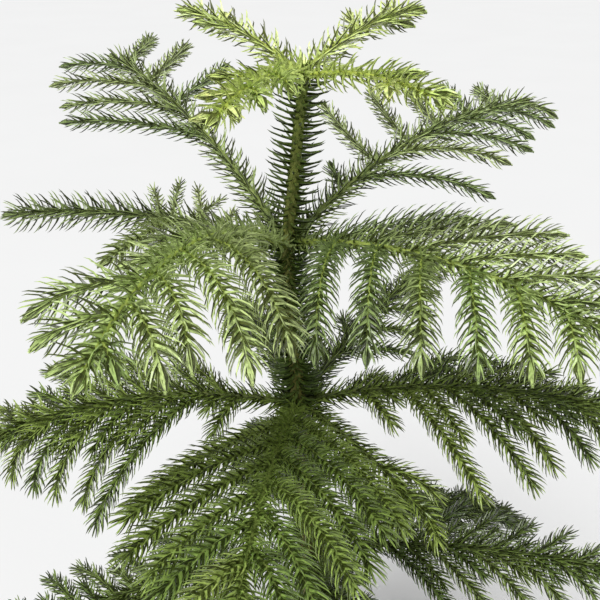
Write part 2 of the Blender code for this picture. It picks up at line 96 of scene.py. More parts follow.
TIERS = (
    Tier("top", 5, "new", (
        Bough("back_left", 133, 106, 25, 25, 0, (0.50, 0.88), Side(0.21, 40, 10), Side(0.16, 50, 5)),
        Bough("back_right", 50, 105, 25, 27, 0, (0.42, 0.88), Side(0.24, 60, 0), Side(0.26, 40, 48)),
        Bough("front_right", 314, 94, 16, 33, -2, (0.45, 0.92), Side(0.28, 36, 5), Side(0.26, 54, 40)),
        Bough("front_left", 245, 100, 14, 34, 3, (0.35, 0.92), Side(0.28, 62, 40), Side(0.30, 48, 5)),
    )),
    Tier("upper", 4, "young", (
        Bough("left", 171, 165, 16, 27, -3, (0.10, 0.44), Side(0.47, 85, 24, 1.25), Side(0.26, 80, -15)),
        Bough("back_left", 129, 193, 37, 27, 3, (0.41, 0.92),
              Side(0.45, 61, 34, 0.67), Side(0.36, 76, 9, 0, 1)),
        Bough("back_right", 37, 200, 37, 43, -1, (0.22, 0.92),
              Side(0.36, 86, 0, 0.6, 1), Side(0.41, 50, 48)),
        Bough("front_right", 328, 190, 16, 41, 0, (0.11, 0.93), Side(0.46, 52, 12), Side(0.43, 74, 88)),
        Bough("front_left", 239, 200, 35, 61, 18, (0.29, 0.92),
              Side(0.44, 64, 84, 1.05, 1), Side(0.45, 89, 45, 0.98, 3)),
    )),
    Tier("middle", 3, "grown", (
        Bough("left", 183, 190, 15, 41, 2, (0.17, 0.93), Side(0.54, 58, 86, 0.82, 1), Side(0.42, 58, 12)),
        Bough("back_left", 108, 160, 6, 18, -4, (0.25, 0.93),
              Side(0.26, 50, 12, 0.75, 1), Side(0.26, 50, 12)),
        Bough("back_right", 57, 186, 21, 26, -2, (0.18, 0.93), Side(0.18, 50, 22), Side(0.28, 56, 40)),
        Bough("right", 0, 195, 14, 33, 0, (0.14, 0.93), Side(0.36, 50, 18), Side(0.54, 73, 54, 0.84, 1)),
        Bough("front", 261, 190, 19, 30, 2, (0.15, 0.93), Side(0.54, 50, 36, 0.85), Side(0.60, 48, 20, 1)),
        Bough("front_right", 316, 112, -6, 28, 2, (0.28, 0.93),
              Side(0.58, 41, 41, 1.2), Side(0.44, 50, 40)),
    )),
    Tier("lower", 2, "old", (
        Bough("front", 279, 180, 12, 34, 0, (0.22, 0.93), Side(0.42, 54, 50), Side(0.42, 54, 50)),
        Bough("right", 352, 190, 14, 26, 2, (0.20, 0.93), Side(0.28, 50, -10), Side(0.40, 54, 60)),
        Bough("back_right", 31, 186, 17, 60, -12, (0.22, 0.93), Side(0.24, 50, 40), Side(0.36, 50, 40)),
        Bough("back", 100, 175, 10, 30, 0, (0.22, 0.93), Side(0.40, 50, 30), Side(0.40, 50, 30)),
        Bough("left", 197, 185, 6, 22, 0, (0.22, 0.93), Side(0.40, 52, 50), Side(0.34, 84, 31, 0.4)),
    )),
    Tier("bottom", 1, "old", (
        Bough("right", 12, 170, 6, 30, 0, (0.22, 0.93), Side(0.38, 54, 40), Side(0.38, 54, 40)),
        Bough("back", 84, 160, 6, 30, 0, (0.22, 0.93), Side(0.38, 54, 40), Side(0.38, 54, 40)),
        Bough("back_left", 156, 165, 6, 30, 0, (0.22, 0.93), Side(0.38, 54, 40), Side(0.38, 54, 40)),
        Bough("front_left", 228, 170, 6, 30, 0, (0.22, 0.93), Side(0.38, 54, 40), Side(0.38, 54, 40)),
        Bough("front_right", 300, 170, 6, 30, 0, (0.22, 0.93), Side(0.38, 54, 40), Side(0.38, 54, 40)),
    )),
)


def heading(azimuth, elevation):
    a, e = math.radians(azimuth), math.radians(elevation)
    return np.array((math.cos(e) * math.cos(a), math.cos(e) * math.sin(a), math.sin(e)))


def arc(start, length, azimuth, elevation, turn, fall, steps):
    """Evenly spaced points along a curve that turns round by turn and down by fall degrees on its way."""
    points = [np.array(start, float)]
    for k in range(steps):
        t = (k + 0.5) / steps
        way = heading(azimuth + turn * t, max(-STEEPEST, elevation - fall * t))
        points.append(points[-1] + way * length / steps)
    return np.array(points)


def along(points, share):
    """The point at this share of the curve, whose points are evenly spaced."""
    place = min(max(share, 0.0), 1.0) * (len(points) - 1)
    k = min(int(place), len(points) - 2)
    return points[k] + (points[k + 1] - points[k]) * (place - k)


def station_point(station):
    x, z = TRUNK_STATIONS[station]
    return np.array((x, 0.0, z))


def trunk_radius(height):
    """Even taper from foot to top, with a flare where the trunk meets the soil."""
    rise = (height - SOIL_TOP) / (TRUNK_STATIONS[-1][1] - SOIL_TOP)
    taper = TRUNK_FOOT_RADIUS + (TRUNK_TOP_RADIUS - TRUNK_FOOT_RADIUS) * rise
    return taper + FLARE_GIRTH * np.exp(-(height - SOIL_TOP) / FLARE_HEIGHT)


def bough_radius(bough, share):
    root = LIMB_BASE_RADIUS + LIMB_RADIUS_PER_LENGTH * bough.length / MM_PER_M
    return root * (1 - LIMB_TAPER * share)


def distance_to_trunk(points):
    ends = np.array([station_point(k) for k in range(len(TRUNK_STATIONS))])
    start, way = ends[:-1], np.diff(ends, axis=0)
    share = ((points[:, None] - start) * way).sum(-1) / (way ** 2).sum(-1)
    nearest = start + np.clip(share, 0, 1)[..., None] * way
    return np.linalg.norm(points[:, None] - nearest, axis=-1).min()


def nearest_gap(points, others):
    return np.linalg.norm(points[:, None] - others[None], axis=-1).min()


def bough_axis(tier, index, bough):
    root = station_point(tier.station)
    root[2] += TIER_STAGGER * (0.5 if index % 2 else -0.5)
    length = bough.length / MM_PER_M
    return arc(root, length, bough.azimuth, bough.rise, bough.swing, bough.sag, ARC_STEPS)


def pair_count(bough):
    first, last = bough.twiggy
    return max(FEWEST_PAIRS, round((last - first) * bough.length / MM_PER_M / TWIG_SPACING))


def twig_share(bough, place):
    """The share of a bough's length at this place, where pairs of twigs stand one apart."""
    first, last = bough.twiggy
    return first + (last - first) * place / (pair_count(bough) - RIGHT_SET)


def free_twig(name, bough, axis, pair, side, taken):
    """This pair's twig on this side, shortened until it is clear of other masses, or None."""
    rule, set_back = (bough.left, LEFT_SET) if side == LEFT else (bough.right, RIGHT_SET)
    share = twig_share(bough, pair + set_back)
    chance = random.Random(f"{name} {pair} {side}")
    outward = (share - bough.twiggy[0]) / (1 - bough.twiggy[0])
    length = rule.reach * bough.length / MM_PER_M * (1 - rule.fade * outward ** TWIG_FADE_POWER)
    length *= chance.uniform(*LENGTH_VARIES) * (STUNTED if pair < rule.stunted else 1)
    droop = rule.droop * chance.uniform(*DROOP_VARIES)
    splay = rule.splay * (1 - SPLAY_FADE * outward) * chance.uniform(*LENGTH_VARIES)
    azimuth = bough.azimuth + bough.swing * share + side * splay
    slope = bough.rise - bough.sag * share
    elevation = TWIG_SLOPE_SHARE * slope + TWIG_LIFT + chance.uniform(*LIFT_VARIES)
    curl = -side * TWIG_CURL
    for shorter in TWIG_TRIES:
        twig = arc(along(axis, share), length * shorter, azimuth, elevation, curl, droop, TWIG_STEPS)
        outer = twig[TWIG_FREE_FROM:]
        if distance_to_trunk(outer) < TRUNK_CLEARANCE or outer[:, 2].min() < LOWEST_TWIG:
            continue
        if all(nearest_gap(outer, points) > TWIG_CLEARANCE for owner, points in taken if owner != name):
            taken.append((name, outer))
            return twig
    return None


def grow():
    """Every bough as (tier, bough, name, axis, twigs), where twigs maps (pair, side) to a curve."""
    boughs = [
        (tier, bough, f"{tier.name}_{bough.place}", bough_axis(tier, index, bough), {})
        for tier in TIERS
        for index, bough in enumerate(tier.boughs)
    ]
    taken = [(name, axis[BOUGH_FREE_FROM:]) for _, _, name, axis, _ in boughs]
    for _, bough, name, axis, twigs in boughs:
        for pair in range(pair_count(bough)):
            for side in (LEFT, RIGHT):
                twig = free_twig(name, bough, axis, pair, side, taken)
                if twig is not None:
                    twigs[pair, side] = twig
    return boughs


# ---- finer twigs, which only the looks have

FINE_GROWTHS = ("grown", "old")
# boughs of these growths that have no finer twigs
SPARSE_BOUGHS = ("middle_back_left", "middle_back_right", "middle_front", "middle_front_right")
HALFWAY = 0.5               # where a finer twig stands between two pairs
FINE_STEPS = 6              # of the TWIG_STEPS that the rule gives a twig, those that a finer one keeps
# the fine twigs on the far side of one bough: their place among its pairs, azimuth, elevation and length
FAN_BOUGH = "upper_left"
FAN = ((2.18, 88, 22, 0.041), (1.69, 56, 16, 0.034), (0.90, 74, 14, 0.026))
FAN_DROOP = 12


def fan(bough, axis):
    twigs = {}
    for place, azimuth, rise, length in FAN:
        root = along(axis, twig_share(bough, place))
        twigs[place, RIGHT] = arc(root, length, azimuth, rise, 0, FAN_DROOP, TWIG_STEPS)
    return twigs


def add_finer_twigs(boughs):
    """The fan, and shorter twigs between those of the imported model, where they are clear of other masses."""
    taken = [(name, axis[BOUGH_FREE_FROM:]) for _, _, name, axis, _ in boughs]
    taken += [(name, twig[TWIG_FREE_FROM:]) for _, _, name, _, twigs in boughs for twig in twigs.values()]
    for tier, bough, name, axis, twigs in boughs:
        if name == FAN_BOUGH:
            twigs.update(fan(bough, axis))
        if tier.growth not in FINE_GROWTHS or name in SPARSE_BOUGHS:
            continue
        for pair in range(pair_count(bough) - 1):
            for side in (LEFT, RIGHT):
                twig = free_twig(name, bough, axis, pair + HALFWAY, side, taken)
                if twig is not None:
                    twigs[pair + HALFWAY, side] = twig[:FINE_STEPS + 1]


# ---- smooth curves and meshes as arrays

NEARLY_UPRIGHT = 1e-3       # a direction closer to the vertical than this takes the X axis to start from


def unit(vectors):
    return vectors / np.linalg.norm(vectors, axis=-1, keepdims=True)


def sampled(points, shares):
    """Points and unit directions at these shares of an evenly spaced curve, rounded by cubics."""
    place = np.clip(shares, 0, 1) * (len(points) - 1)
    k = np.minimum(place.astype(int), len(points) - 2)
    t = (place - k)[:, None]
    slopes = np.gradient(points, axis=0)
    start, end, way_in, way_out = points[k], points[k + 1], slopes[k], slopes[k + 1]
    eased = 3 * t**2 - 2 * t**3
    where = start + eased * (end - start) + (t**3 - 2 * t**2 + t) * way_in + (t**3 - t**2) * way_out
    ways = 6 * (t - t**2) * (end - start) + (3 * t**2 - 4 * t + 1) * way_in + (3 * t**2 - 2 * t) * way_out
    return where, unit(ways)


def curve_length(points):
    return np.linalg.norm(np.diff(points, axis=0), axis=1).sum()


def side_axes(ways):
    """Two unit vectors across each direction, kept from spinning along the curve."""
    across = np.empty_like(ways)
    start = np.cross(Z_AXIS, ways[0])
    across[0] = unit(start if np.linalg.norm(start) > NEARLY_UPRIGHT else X_AXIS)
    for k in range(1, len(ways)):
        carried = across[k - 1] - ways[k] * (across[k - 1] @ ways[k])
        across[k] = unit(carried)
    return across, np.cross(ways, across)


class Pile:
    """Vertices, faces and material numbers of many small closed shapes, gathered to make one object."""

    def __init__(self):
        self.points, self.triangles, self.materials, self.count = [], [], [], 0

    def add(self, points, triangles, material=0):
        """material is one number, or one for each triangle."""
        self.points.append(points)
        self.triangles.append(triangles + self.count)
        self.materials.append(np.broadcast_to(material, len(triangles)))
        self.count += len(points)


def add_mesh(name, pile, materials, smooth=True):
    points, triangles = np.concatenate(pile.points), np.concatenate(pile.triangles)
    mesh = bpy.data.meshes.new(name)
    mesh.vertices.add(len(points))
    mesh.vertices.foreach_set("co", points.astype(np.float32).ravel())
    mesh.loops.add(triangles.size)
    mesh.loops.foreach_set("vertex_index", triangles.astype(np.int32).ravel())
    mesh.polygons.add(len(triangles))
    mesh.polygons.foreach_set("loop_start", np.arange(0, triangles.size, 3, dtype=np.int32))
    mesh.polygons.foreach_set("material_index", np.concatenate(pile.materials).astype(np.int32))
    mesh.polygons.foreach_set("use_smooth", np.full(len(triangles), smooth))
    for made in materials:
        mesh.materials.append(made)
    mesh.update(calc_edges=True)
    mesh.validate()
    piece = bpy.data.objects.new(name, mesh)
    bpy.context.scene.collection.objects.link(piece)
    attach(piece, "root")
    return piece


def tube(grid):
    """Points and triangles of a closed tube through a grid of rings, with flat ends."""
    rings, sides = grid.shape[:2]
    points = np.concatenate([grid.reshape(-1, 3), grid[0].mean(0)[None], grid[-1].mean(0)[None]])
    i, j = np.meshgrid(np.arange(rings - 1), np.arange(sides), indexing="ij")
    a, b = i * sides + j, i * sides + (j + 1) % sides
    c, d = b + sides, a + sides
    foot, tip = rings * sides, rings * sides + 1
    k = np.arange(sides)
    after, last = (k + 1) % sides, (rings - 1) * sides
    return points, np.concatenate([
        np.stack([a, b, c], -1).reshape(-1, 3),
        np.stack([a, c, d], -1).reshape(-1, 3),
        np.stack([after, k, np.full(sides, foot)], -1),
        np.stack([last + k, last + after, np.full(sides, tip)], -1),
    ])


def round_angles(count):
    return 2 * math.pi * np.arange(count) / count


def tube_grid(centres, ways, radii, sides):
    """Rings about a curve. radii holds one radius a ring, or one for every point of every ring."""
    across, upright = side_axes(ways)
    angles = round_angles(sides)[:, None]
    radii = np.broadcast_to(np.asarray(radii).reshape(len(centres), -1), (len(centres), sides))[..., None]
    outward = np.cos(angles) * across[:, None] + np.sin(angles) * upright[:, None]
    return centres[:, None] + radii * outward


# ---- needles

NEEDLE_SECTIONS = (0.0, 0.40, 0.80)     # where along a needle its three-sided sections stand; its tip is at 1
NEEDLE_WIDTHS = (0.95, 1.0, 0.72)
NEEDLE_KEEL = 0.6                       # how far a needle's keel stands out, as a share of its width
NEEDLE_FOOT = 0.0016                    # how far a needle's foot runs down its stem
NEEDLE_SINK = 0.0004                    # how deep its foot lies in the stem


def needle_faces():
    """The 16 faces of one needle: its foot, three sides through its sections, and its point."""
    faces = [(0, 2, 1)]
    for k in (0, 3):
        for i in range(3):
            j = (i + 1) % 3
            faces += [(k + i, k + j, k + 3 + j), (k + i, k + 3 + j, k + 3 + i)]
    return faces + [(6, 7, 9), (7, 8, 9), (8, 6, 9)]


NEEDLE_FACES = needle_faces()
# each face's side of its needle: 0 is the flat inner side, 1 and 2 are its keel's, and its foot counts as 1
FACE_SIDES = np.array([1] + 2 * [0, 0, 1, 1, 2, 2] + [0, 1, 2])


def needle_lit_and_shaded_faces(count, green):
    """Material numbers of this many needles in this green, painted lit and shaded. One side of each keel, by
    turns the one and the other, has the copy of its green in painted shade; the rest of the needle has the copy
    in painted light."""
    painted_shade_sides = 1 + np.arange(count) % 2
    return (2 * green + (FACE_SIDES == painted_shade_sides[:, None])).ravel()


def needles(feet, outward, ahead, lengths, opens, closes, width):
    """Points and triangles of curved three-sided needles. Each leaves its stem at `opens` radians from the
    stem's direction and has turned to `closes` at its tip."""
    count = len(feet)
    side = np.cross(ahead, outward)
    lengths, opens, closes = (np.broadcast_to(v, count)[:, None] for v in (lengths, opens, closes))
    centre = feet - outward * NEEDLE_SINK
    rows, last = [], 0.0
    for number, (place, girth) in enumerate(zip(NEEDLE_SECTIONS, NEEDLE_WIDTHS)):
        turned = opens + (closes - opens) * (last + place) / 2
        centre = centre + (np.cos(turned) * ahead + np.sin(turned) * outward) * lengths * (place - last)
        here = opens + (closes - opens) * place
        keel = (np.cos(here) * outward - np.sin(here) * ahead) * width * girth * NEEDLE_KEEL
        half = side * width * girth / 2
        rows += [centre + half, centre - half, centre + (keel if number else -ahead * NEEDLE_FOOT)]
        last = place
    turned = opens + (closes - opens) * (last + 1) / 2
    tip = centre + (np.cos(turned) * ahead + np.sin(turned) * outward) * lengths * (1 - last)
    rows.append(tip)
    points = np.stack(rows, 1)
    triangles = np.array(NEEDLE_FACES)[None] + (np.arange(count) * points.shape[1])[:, None, None]
    return points.reshape(-1, 3), triangles.reshape(-1, 3)


# how a stem is clothed. pitch is metres of stem a needle; open and close are a needle's angles from its stem,
# where it leaves that and at its own tip. Those ending in _end hold at the stem's tip.
Coat = namedtuple("Coat", "pitch length open close length_end open_end close_end width")

BOUGH_COATS = {
    "new": Coat(0.00052, 0.0120, 76, 28, 0.0095, 38, 8, 0.00112),
    "bright": Coat(0.00046, 0.0122, 74, 30, 0.0100, 40, 8, 0.00104),
    "young": Coat(0.00044, 0.0126, 73, 36, 0.0090, 40, 8, 0.00100),
    "deep": Coat(0.00038, 0.0138, 74, 38, 0.0090, 40, 8, 0.00100),
    "grown": Coat(0.00038, 0.0112, 70, 30, 0.0090, 34, 6, 0.00100),
    "mellow": Coat(0.00038, 0.0114, 68, 28, 0.0095, 34, 6, 0.00102),
    "old": Coat(0.00038, 0.0112, 70, 30, 0.0090, 34, 6, 0.00100),
}
TWIG_COATS = {
    "faint": Coat(0.00050, 0.0062, 62, 26, 0.0052, 40, 12, 0.00072),
    "new": Coat(0.00054, 0.0104, 68, 20, 0.0088, 42, 8, 0.00108),
    "bright": Coat(0.00047, 0.0140, 70, 18, 0.0098, 42, 8, 0.00100),
    "young": Coat(0.00050, 0.0102, 60, 18, 0.0076, 40, 8, 0.00094),
    "deep": Coat(0.00042, 0.0116, 62, 20, 0.0076, 40, 8, 0.00096),
    "grown": Coat(0.00045, 0.0108, 60, 20, 0.0085, 34, 6, 0.00094),
    "mellow": Coat(0.00043, 0.0128, 62, 16, 0.0094, 36, 6, 0.00096),
    "old": Coat(0.00044, 0.0102, 58, 20, 0.0085, 34, 6, 0.00094),
}
TRUNK_COAT = Coat(0.00040, 0.0134, 92, 58, 0.0134, 92, 62, 0.00155)
TIP_ZONE = 0.007            # the stretch of stem whose needles close up towards its tip
# how much a needle's angles, its length and its place round the stem vary
ANGLE_JITTER, LENGTH_JITTER, TURN_JITTER = math.radians(3.5), 0.08, math.radians(6)
PARTING = 0.32              # how far needles keep to the two sides of their stem: 0 not at all, under 0.5


def clothe(pile, curve, radii, coat, start, end, chance, green, thin=1.0, parting=PARTING):
    """Winds needles round the curve from share start to share end. radii are its radii at its two ends, and
    thin is how many times further apart than its coat says the needles stand."""
    length = curve_length(curve)
    count = int((end - start) * length / (coat.pitch * thin))
    if count < 1:
        return
    shares = start + (end - start) * (np.arange(count) + 0.5) / count
    centres, ways = sampled(curve, shares)
    across, upright = side_axes(ways)
    turns = chance.uniform(0, 2 * math.pi) + GOLDEN_TURN * np.arange(count)
    turns = (turns - parting * np.sin(2 * turns) + chance.normal(0, TURN_JITTER, count))[:, None]
    outward = np.cos(turns) * across + np.sin(turns) * upright
    radius = np.interp(shares, (0, 1), radii)[:, None]
    closing = np.clip(1 - (end - shares) * length / TIP_ZONE, 0, 1)
    lengths = coat.length + (coat.length_end - coat.length) * closing
    lengths = lengths * (1 + chance.uniform(-1, 1, count) * LENGTH_JITTER)
    opens, closes = (
        np.radians(angle + (angle_end - angle) * closing) + chance.normal(0, ANGLE_JITTER, count)
        for angle, angle_end in ((coat.open, coat.open_end), (coat.close, coat.close_end))
    )
    grown = needles(centres + outward * radius, outward, ways, lengths, opens, closes, coat.width)
    pile.add(*grown, needle_lit_and_shaded_faces(count, green))


# the closed bud at a growing tip, at full size: rows of broad needles that meet in a point. Each is (how far
# back it stands, how far out, its needles' length, the angle at which they open and their angle at the tip).
BUD_ROWS = (
    (0.0026, 0.0003, 0.0112, 30, -44),
    (0.0012, 0.0002, 0.0098, 23, -37),
    (0.0, 0.0001, 0.0088, 14, -26),
)
BUD_NEEDLES = 8             # in each row
BUD_WIDTH = 0.00185
BUD_TURN_JITTER = 0.06      # radians
BUD_EVENNESS = 3            # how many times less than other needles its needles vary in length
BUD_BARE = 0.0018           # the stretch of stem below a bud that bears no other needles
BUD_SIZES = {"new": 1.0, "bright": 1.0, "young": 0.8, "deep": 0.8}
BUD_REACH = 0.0083          # from the end of a stem to the point of its bud, at full size
BRUSH_REACH = 0.0066        # from the end of a stem that has no bud to the tips of its last needles


def tip_reach(palette):
    return BUD_REACH * BUD_SIZES[palette] if palette in BUD_SIZES else BRUSH_REACH


def add_bud(pile, curve, share, radius, size, chance, green):
    """The closed pointed bud that ends a growing stem at this share of its curve."""
    for row, (back, girth, reach, opening, closing) in enumerate(BUD_ROWS):
        centres, ways = sampled(curve, np.full(BUD_NEEDLES, share - back * size / curve_length(curve)))
        across, upright = side_axes(ways)
        turns = (np.arange(BUD_NEEDLES) + row / 2) * 2 * math.pi / BUD_NEEDLES
        turns = turns + chance.normal(0, BUD_TURN_JITTER, BUD_NEEDLES)
        outward = np.cos(turns)[:, None] * across + np.sin(turns)[:, None] * upright
        lengths = reach * size * (1 + chance.uniform(-1, 1, BUD_NEEDLES) * LENGTH_JITTER / BUD_EVENNESS)
        feet = centres + outward * (radius + girth * size)
        angles = math.radians(opening), math.radians(closing)
        grown = needles(feet, outward, ways, lengths, *angles, BUD_WIDTH * size)
        pile.add(*grown, needle_lit_and_shaded_faces(BUD_NEEDLES, green))


# ---- materials

def new_material(name, roughness):
    made = bpy.data.materials.new(name)
    made.use_nodes = True
    shader = made.node_tree.nodes["Principled BSDF"]
    shader.inputs["Roughness"].default_value = roughness
    return made, shader


def add_node(made, kind, **settings):
    node = made.node_tree.nodes.new(kind)
    for key, value in settings.items():
        if hasattr(node, key):
            setattr(node, key, value)
        else:
            node.inputs[key].default_value = value
    return node


def join(made, output, socket):
    made.node_tree.links.new(output, socket)


def object_coordinates(made):
    return add_node(made, "ShaderNodeTexCoord").outputs["Object"]


def noise(made, scale, detail, roughness):
    node = add_node(made, "ShaderNodeTexNoise", Scale=scale, Detail=detail, Roughness=roughness)
    join(made, object_coordinates(made), node.inputs["Vector"])
    return node.outputs["Fac"]


def ramp(made, factor, stops):
    """A colour ramp. stops are (place, (r, g, b)), in order."""
    node = add_node(made, "ShaderNodeValToRGB")
    node.color_ramp.elements[0].position, node.color_ramp.elements[1].position = stops[0][0], stops[-1][0]
    node.color_ramp.elements[0].color = (*stops[0][1], 1)
    node.color_ramp.elements[1].color = (*stops[-1][1], 1)
    for place, colour in stops[1:-1]:
        node.color_ramp.elements.new(place).color = (*colour, 1)
    join(made, factor, node.inputs["Fac"])
    return node.outputs["Color"]


def multiplied(made, colour, tint):
    mix = add_node(made, "ShaderNodeMix", data_type="RGBA", blend_type="MULTIPLY")
    mix.inputs["Factor"].default_value = 1.0
    join(made, colour, mix.inputs["A"])
    join(made, tint, mix.inputs["B"])
    return mix.outputs["Result"]


def bump(made, shader, height, strength, distance):
    node = add_node(made, "ShaderNodeBump", Strength=strength, Distance=distance)
    join(made, height, node.inputs["Height"])
    join(made, node.outputs["Normal"], shader.inputs["Normal"])


def shade(colour, amount):
    return tuple(min(1.0, c * a) for c, a in zip(colour, np.broadcast_to(amount, 3)))


# the greens of each palette's needles, dealt out by spray
NEEDLE_GREENS = {
    "new": ((0.490, 0.585, 0.185), (0.410, 0.510, 0.155), (0.550, 0.635, 0.235)),
    "bright": ((0.345, 0.440, 0.150), (0.285, 0.385, 0.128), (0.405, 0.495, 0.190)),
    "young": ((0.262, 0.330, 0.118), (0.210, 0.282, 0.098), (0.316, 0.382, 0.150)),
    "deep": ((0.170, 0.225, 0.072), (0.135, 0.190, 0.060), (0.210, 0.265, 0.090)),
    "faint": ((0.300, 0.360, 0.150), (0.260, 0.320, 0.130), (0.350, 0.400, 0.180)),
    "grown": ((0.184, 0.252, 0.052), (0.146, 0.212, 0.043), (0.228, 0.298, 0.068)),
    "mellow": ((0.222, 0.304, 0.070), (0.174, 0.256, 0.057), (0.290, 0.372, 0.094)),
    "old": ((0.130, 0.186, 0.042), (0.102, 0.155, 0.034), (0.158, 0.216, 0.054)),
}
GREENS = 3                  # in each palette
# boughs whose palette isn't their tier's
BOUGH_PALETTES = {
    "upper_left": "deep",
    "upper_front_left": "bright",
    "upper_front_right": "bright",
    "middle_front": "mellow",
}
INNER_SHARE = 0.42          # the share of a bough, from the trunk, where needles have the greens of its tier
NEEDLE_PAINTED_LIGHT_AND_SHADE = {"pale": 1.42, "dark": (0.20, 0.20, 0.11)}      # what its sides make of a needle's green: the pale copy is painted light, the dark copy painted shade
NEEDLE_ROUGHNESS, NEEDLE_SPECULAR = 0.30, 0.6
# a noise is (waves a metre, detail, roughness). Along a needle there are a few waves of its mottle.
NEEDLE_MOTTLE = (420, 2.0, 0.5)
MOTTLE_SHADES = ((0.34, 0.55), (0.5, 1.0), (0.68, 1.25))


def needle_material(name, colour):
    made, shader = new_material(name, NEEDLE_ROUGHNESS)
    shader.inputs["Specular IOR Level"].default_value = NEEDLE_SPECULAR
    tones = [(place, shade(colour, amount)) for place, amount in MOTTLE_SHADES]
    join(made, ramp(made, noise(made, *NEEDLE_MOTTLE), tones), shader.inputs["Base Color"])
    return made


def needle_materials(palettes):
    """The materials of these palettes' greens in order: of each its pale one in painted light, and then its
    dark one in painted shade.
    """
    return [
        needle_material(f"needles_{palette}_{number}_{side}", shade(colour, amount))
        for palette in palettes
        for number, colour in enumerate(NEEDLE_GREENS[palette])
        for side, amount in NEEDLE_PAINTED_LIGHT_AND_SHADE.items()
    ]


# tone is the noise that a surface's colours follow, grain that of its relief, and bump is (strength, depth)
Surface = namedtuple("Surface", "roughness tone grain bump")

GREEN_WOOD = Surface(0.6, (260, 4.0, 0.6), (900, 3.0, 0.5), (0.5, 0.0004))
BARK = Surface(0.68, (240, 5.0, 0.6), (700, 4.0, 0.65), (0.6, 0.0006))
CLAY = Surface(0.86, (14, 4.0, 0.6), (900, 3.0, 0.7), (0.35, 0.0004))
SOIL = Surface(0.95, (330, 5.0, 0.7), (1100, 3.0, 0.7), (0.7, 0.0006))
FLOOR_ROUGHNESS, FLOOR_TONE = 0.9, (3, 2.0, 0.5)

# stops of colour ramps, as (place, shade or colour)
WOOD_SHADES, FLECK_PLACE = ((0.35, 0.7), (0.55, 1.0)), 0.75
TRUNK_COLOURS = (
    (0.0, (0.170, 0.125, 0.066)), (0.35, (0.200, 0.172, 0.060)), (0.7, (0.275, 0.270, 0.070)),
    (0.85, (0.270, 0.295, 0.066)), (1.0, (0.260, 0.330, 0.066)),
)
BARK_FLECKS = ((0.3, (0.55, 0.55, 0.5)), (0.5, (1.0, 1.0, 1.0)), (0.72, (1.5, 1.45, 1.3)))
CLAY_COLOURS = ((0.3, (0.44, 0.175, 0.095)), (0.55, (0.52, 0.225, 0.125)), (0.75, (0.60, 0.315, 0.205)))
CLAY_SPECKS = ((0.3, (0.82, 0.80, 0.78)), (0.6, (1.0, 1.0, 1.0)))
SOIL_PLACES = (0.3, 0.7)
FLOOR_COLOURS = ((0.3, (0.870, 0.872, 0.872)), (0.7, (0.882, 0.884, 0.884)))


def new_surface(name, kind):
    """A material with its relief. Returns it, its shader, and its tone and grain."""
    made, shader = new_material(name, kind.roughness)
    tone, grain = noise(made, *kind.tone), noise(made, *kind.grain)
    bump(made, shader, grain, *kind.bump)
    return made, shader, tone, grain


def stem_material(name, colour, fleck):
    """Green wood furrowed along the needle feet."""
    made, shader, tone, _ = new_surface(name, GREEN_WOOD)
    stops = [(place, shade(colour, amount)) for place, amount in WOOD_SHADES] + [(FLECK_PLACE, fleck)]
    join(made, ramp(made, tone, stops), shader.inputs["Base Color"])
    return made


def trunk_material():
    """Olive brown at the foot, turning to green wood at the top, with paler flecks."""
    made, shader, tone, _ = new_surface("trunk_bark", BARK)
    split = add_node(made, "ShaderNodeSeparateXYZ")
    join(made, object_coordinates(made), split.inputs["Vector"])
    rise = add_node(made, "ShaderNodeMapRange")
    for socket, value in (("From Min", SOIL_TOP), ("From Max", TRUNK_STATIONS[-1][1])):
        rise.inputs[socket].default_value = value
    join(made, split.outputs["Z"], rise.inputs["Value"])
    wood = ramp(made, rise.outputs["Result"], TRUNK_COLOURS)
    join(made, multiplied(made, wood, ramp(made, tone, BARK_FLECKS)), shader.inputs["Base Color"])
    return made


def clay_material():
    made, shader, tone, grain = new_surface("clay", CLAY)
    clay = multiplied(made, ramp(made, tone, CLAY_COLOURS), ramp(made, grain, CLAY_SPECKS))
    join(made, clay, shader.inputs["Base Color"])
    return made


def soil_material(name, colours):
    """Soil in these colours, a dark and a light one."""
    made, shader, tone, _ = new_surface(name, SOIL)
    join(made, ramp(made, tone, tuple(zip(SOIL_PLACES, colours))), shader.inputs["Base Color"])
    return made


def floor_material():
    made, shader = new_material("floor", FLOOR_ROUGHNESS)
    join(made, ramp(made, noise(made, *FLOOR_TONE), FLOOR_COLOURS), shader.inputs["Base Color"])
    return made


# ---- the plant's pieces

BOUGH_RINGS, BOUGH_SIDES = 110, 10
TWIG_RINGS, TWIG_SIDES = 12, 6
TWIG_RADIUS = 0.00085
TWIG_TIP_RADIUS = 0.00050
BOUGH_SINK = 0.001              # how deep a bough's foot lies in the trunk
COLLAR_SWELL, COLLAR_REACH = 0.45, 0.0045
NEEDLES_FROM = 0.001            # from the trunk's surface to a bough's first needles
TWIG_BARE = 0.5                 # the foot of a twig without needles, as a share of its bough's root radius
RIDGE = 0.00013                 # relief of the needle feet on a bough: the product of two waves,
RIDGE_WAVES = ((3, 0.13), (2, -0.31))   # each with its number round the bough and its turn with the needles'
# the main colour of each palette's stems, and that of their flecks
STEM_COLOURS = {
    "new": ((0.460, 0.540, 0.085), (0.60, 0.66, 0.18)),
    "bright": ((0.290, 0.370, 0.060), (0.42, 0.49, 0.12)),
    "young": ((0.200, 0.260, 0.050), (0.30, 0.35, 0.10)),
    "deep": ((0.150, 0.195, 0.040), (0.24, 0.28, 0.08)),
    "faint": ((0.200, 0.240, 0.080), (0.30, 0.32, 0.14)),
    "mellow": ((0.130, 0.175, 0.030), (0.20, 0.24, 0.06)),
    "grown": ((0.120, 0.155, 0.028), (0.19, 0.22, 0.05)),
    "old": ((0.080, 0.100, 0.022), (0.14, 0.15, 0.05)),
}


